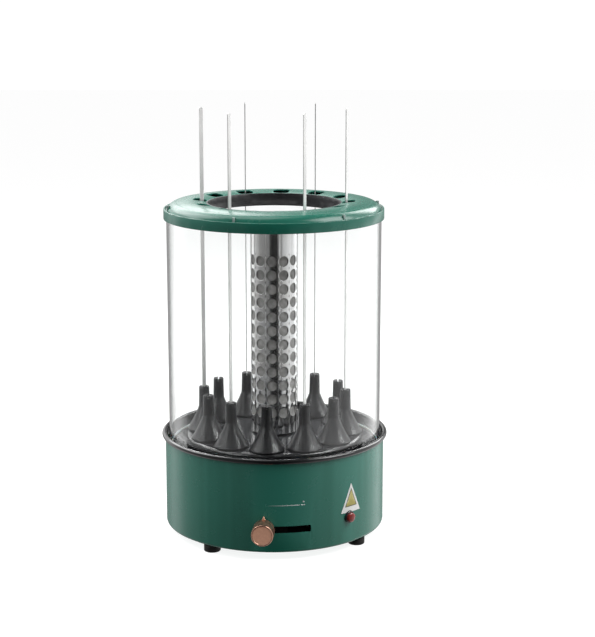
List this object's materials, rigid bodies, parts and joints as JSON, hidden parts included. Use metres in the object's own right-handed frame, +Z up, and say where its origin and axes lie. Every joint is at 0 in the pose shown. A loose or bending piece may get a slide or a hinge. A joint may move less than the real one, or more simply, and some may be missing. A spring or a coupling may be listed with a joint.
{
  "type": "rotisserie oven",
  "caption": "Upright tabletop skewer grill: green round base with gear drive, spinning sockets, chrome heater tower, glass cylinder and two-part top ring.",
  "frame": {"origin": "on the ground under the carousel's vertical axis", "axes": "+Z up along the carousel axis, front of the grill with its slider knob towards -Y, +X to the viewer's right"},
  "size_m": [0.2472, 0.2795, 0.462],
  "materials": {
    "green_paint": "satin dark green enamel paint",
    "black_enamel": "high-gloss black enamel",
    "black_plastic": "fine satin black",
    "rubber_black": "matt",
    "steel": "brushed",
    "zinc_steel": "zinc-plated sheet",
    "chrome": "polished",
    "clear_glass": "clear polished",
    "copper": "rose-copper plate, brushed",
    "ceramic_grey": "unglazed grey",
    "coil_wire": "oxidised resistance wire",
    "bush_bronze": "sintered bronze",
    "gear_nylon": "moulded nylon",
    "red_lens": "translucent red",
    "label_film": "blank printed film",
    "silicone": "translucent silicone",
    "lead_sleeve": "woven glass sleeving"
  },
  "bodies": {
    "root": {"base_shell": "green_paint", "bottom_plate": "zinc_steel", "rubber_feet": "rubber_black", "foot_screws": "steel", "foot_nuts": "steel", "drip_tray": "black_enamel", "blank_label": "label_film", "slide_track": "black_plastic", "regulator": "black_plastic", "lamp_bezel": "black_plastic", "lamp_lens": "red_lens", "power_inlet": "black_plastic", "inlet_pins": "steel", "column": "zinc_steel", "hub_bushes": "bush_bronze", "gear_motor": "zinc_steel", "motor_bracket": "zinc_steel", "chassis_screws": "steel", "sun_gear": "gear_nylon", "tower_base": "zinc_steel", "ceramic_core": "ceramic_grey", "heating_coils": "coil_wire", "heater_sleeve": "chrome", "tower_cap": "chrome", "tie_rod": "steel", "cap_nut": "chrome", "heater_leads": "lead_sleeve", "terminal_block": "black_plastic", "thermal_cutout": "black_plastic", "glass_gasket": "silicone"},
    "turntable": {"turntable": "black_enamel", "drive_hub": "gear_nylon", "drive_gear": "gear_nylon"},
    "pinion": {"motor_pinion": "gear_nylon", "motor_shaft": "steel"},
    "slider": {"slider_carriage": "black_plastic", "slider_knob": "copper"},
    "glass": {"glass_cylinder": "clear_glass"},
    "ring": {"top_ring": "green_paint", "ring_seal": "silicone"},
    "guide": {"guide_cap": "green_paint", "guide_carrier": "black_plastic"},
    "socket_01": {"skewer_socket_01": "black_plastic"},
    "socket_02": {"skewer_socket_02": "black_plastic"},
    "socket_03": {"skewer_socket_03": "black_plastic"},
    "socket_04": {"skewer_socket_04": "black_plastic"},
    "socket_05": {"skewer_socket_05": "black_plastic"},
    "socket_06": {"skewer_socket_06": "black_plastic"},
    "socket_07": {"skewer_socket_07": "black_plastic"},
    "socket_08": {"skewer_socket_08": "black_plastic"},
    "socket_09": {"skewer_socket_09": "black_plastic"},
    "socket_10": {"skewer_socket_10": "black_plastic"},
    "socket_11": {"skewer_socket_11": "black_plastic"},
    "socket_12": {"skewer_socket_12": "black_plastic"},
    "skewer_1": {"skewer_1": "steel"},
    "skewer_2": {"skewer_2": "steel"},
    "skewer_3": {"skewer_3": "steel"},
    "skewer_4": {"skewer_4": "steel"},
    "skewer_5": {"skewer_5": "steel"},
    "skewer_6": {"skewer_6": "steel"}
  },
  "joints": [
    {"name": "turntable_spin", "type": "hinge", "parent": "root", "child": "turntable", "pos_m": [0, 0, 0.1], "axis": [0, 0, 1], "continuous": true},
    {"name": "pinion_spin", "type": "hinge", "parent": "root", "child": "pinion", "pos_m": [0.02813, 0.04871, 0.07], "axis": [0, 0, 1], "continuous": true},
    {"name": "slider_slide", "type": "hinge", "parent": "root", "child": "slider", "pos_m": [0, 0, 0.0334], "axis": [0, 0, 1], "range_deg": [0, 22]},
    {"name": "glass_lift", "type": "slide", "parent": "root", "child": "glass", "axis": [0, 0, 1], "range_m": [0, 0.37]},
    {"name": "ring_lift", "type": "slide", "parent": "glass", "child": "ring", "axis": [0, 0, 1], "range_m": [0, 0.13]},
    {"name": "guide_spin", "type": "hinge", "parent": "ring", "child": "guide", "pos_m": [0, 0, 0.35], "axis": [0, 0, 1], "continuous": true},
    {"name": "socket_01_spin", "type": "hinge", "parent": "turntable", "child": "socket_01", "pos_m": [-0.00815, -0.07757, 0.108], "axis": [0, 0, 1], "continuous": true},
    {"name": "socket_02_spin", "type": "hinge", "parent": "turntable", "child": "socket_02", "pos_m": [0.03173, -0.07126, 0.108], "axis": [0, 0, 1], "continuous": true},
    {"name": "socket_03_spin", "type": "hinge", "parent": "turntable", "child": "socket_03", "pos_m": [0.0631, -0.04585, 0.108], "axis": [0, 0, 1], "continuous": true},
    {"name": "socket_04_spin", "type": "hinge", "parent": "turntable", "child": "socket_04", "pos_m": [0.07757, -0.00815, 0.108], "axis": [0, 0, 1], "continuous": true},
    {"name": "socket_05_spin", "type": "hinge", "parent": "turntable", "child": "socket_05", "pos_m": [0.07126, 0.03173, 0.108], "axis": [0, 0, 1], "continuous": true},
    {"name": "socket_06_spin", "type": "hinge", "parent": "turntable", "child": "socket_06", "pos_m": [0.04585, 0.0631, 0.108], "axis": [0, 0, 1], "continuous": true},
    {"name": "socket_07_spin", "type": "hinge", "parent": "turntable", "child": "socket_07", "pos_m": [0.00815, 0.07757, 0.108], "axis": [0, 0, 1], "continuous": true},
    {"name": "socket_08_spin", "type": "hinge", "parent": "turntable", "child": "socket_08", "pos_m": [-0.03173, 0.07126, 0.108], "axis": [0, 0, 1], "continuous": true},
    {"name": "socket_09_spin", "type": "hinge", "parent": "turntable", "child": "socket_09", "pos_m": [-0.0631, 0.04585, 0.108], "axis": [0, 0, 1], "continuous": true},
    {"name": "socket_10_spin", "type": "hinge", "parent": "turntable", "child": "socket_10", "pos_m": [-0.07757, 0.00815, 0.108], "axis": [0, 0, 1], "continuous": true},
    {"name": "socket_11_spin", "type": "hinge", "parent": "turntable", "child": "socket_11", "pos_m": [-0.07126, -0.03173, 0.108], "axis": [0, 0, 1], "continuous": true},
    {"name": "socket_12_spin", "type": "hinge", "parent": "turntable", "child": "socket_12", "pos_m": [-0.04585, -0.0631, 0.108], "axis": [0, 0, 1], "continuous": true},
    {"name": "skewer_1_lift", "type": "slide", "parent": "socket_02", "child": "skewer_1", "axis": [0, 0, 1], "range_m": [0, 0.34]},
    {"name": "skewer_2_lift", "type": "slide", "parent": "socket_04", "child": "skewer_2", "axis": [0, 0, 1], "range_m": [0, 0.34]},
    {"name": "skewer_3_lift", "type": "slide", "parent": "socket_06", "child": "skewer_3", "axis": [0, 0, 1], "range_m": [0, 0.34]},
    {"name": "skewer_4_lift", "type": "slide", "parent": "socket_08", "child": "skewer_4", "axis": [0, 0, 1], "range_m": [0, 0.34]},
    {"name": "skewer_5_lift", "type": "slide", "parent": "socket_10", "child": "skewer_5", "axis": [0, 0, 1], "range_m": [0, 0.34]},
    {"name": "skewer_6_lift", "type": "slide", "parent": "socket_12", "child": "skewer_6", "axis": [0, 0, 1], "range_m": [0, 0.34]}
  ],
  "couplings": [
    {"joint": "pinion_spin", "follows": "turntable_spin", "ratio": -4},
    {"joint": "guide_spin", "follows": "turntable_spin", "ratio": 1},
    {"joint": "socket_01_spin", "follows": "turntable_spin", "ratio": 4.2},
    {"joint": "socket_02_spin", "follows": "turntable_spin", "ratio": 4.2},
    {"joint": "socket_03_spin", "follows": "turntable_spin", "ratio": 4.2},
    {"joint": "socket_04_spin", "follows": "turntable_spin", "ratio": 4.2},
    {"joint": "socket_05_spin", "follows": "turntable_spin", "ratio": 4.2},
    {"joint": "socket_06_spin", "follows": "turntable_spin", "ratio": 4.2},
    {"joint": "socket_07_spin", "follows": "turntable_spin", "ratio": 4.2},
    {"joint": "socket_08_spin", "follows": "turntable_spin", "ratio": 4.2},
    {"joint": "socket_09_spin", "follows": "turntable_spin", "ratio": 4.2},
    {"joint": "socket_10_spin", "follows": "turntable_spin", "ratio": 4.2},
    {"joint": "socket_11_spin", "follows": "turntable_spin", "ratio": 4.2},
    {"joint": "socket_12_spin", "follows": "turntable_spin", "ratio": 4.2}
  ]
}
